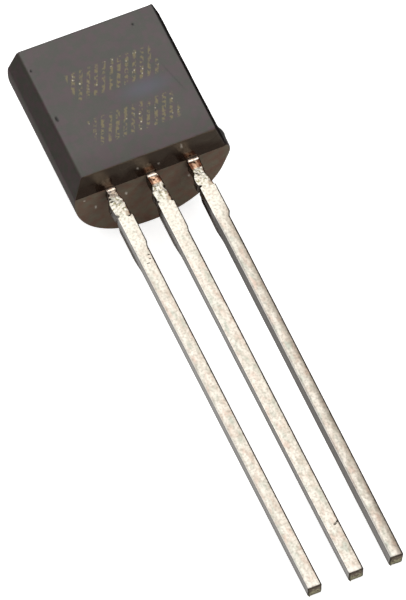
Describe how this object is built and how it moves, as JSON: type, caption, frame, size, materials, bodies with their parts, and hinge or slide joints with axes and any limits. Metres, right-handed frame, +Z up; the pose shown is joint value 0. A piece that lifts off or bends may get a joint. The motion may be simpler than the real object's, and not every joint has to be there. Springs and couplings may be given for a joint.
{
  "type": "to-92 transistor",
  "caption": "Small moulded transistor with a flat front, a round back and straight square leads in a row, lying on its back.",
  "frame": {"origin": "on the floor, under the middle of the box round the part as it lies at rest", "axes": "+X to the right across the leads, +Y from the lead tips to the body's top, +Z up from the floor; the flat front faces up"},
  "size_m": [0.0049, 0.0194, 0.0041],
  "materials": {
    "epoxy": "satin moulded",
    "tinned_lead": "tin plated, bare copper at the exits",
    "solder": "dull",
    "silicon": "polished",
    "bond_wire": "bright"
  },
  "bodies": {
    "root": {"moulded_body": "epoxy", "emitter_lead": "tinned_lead", "base_lead": "tinned_lead", "collector_lead": "tinned_lead", "die_attach": "solder", "die": "silicon", "emitter_wire": "bond_wire", "base_wire": "bond_wire"}
  },
  "joints": []
}
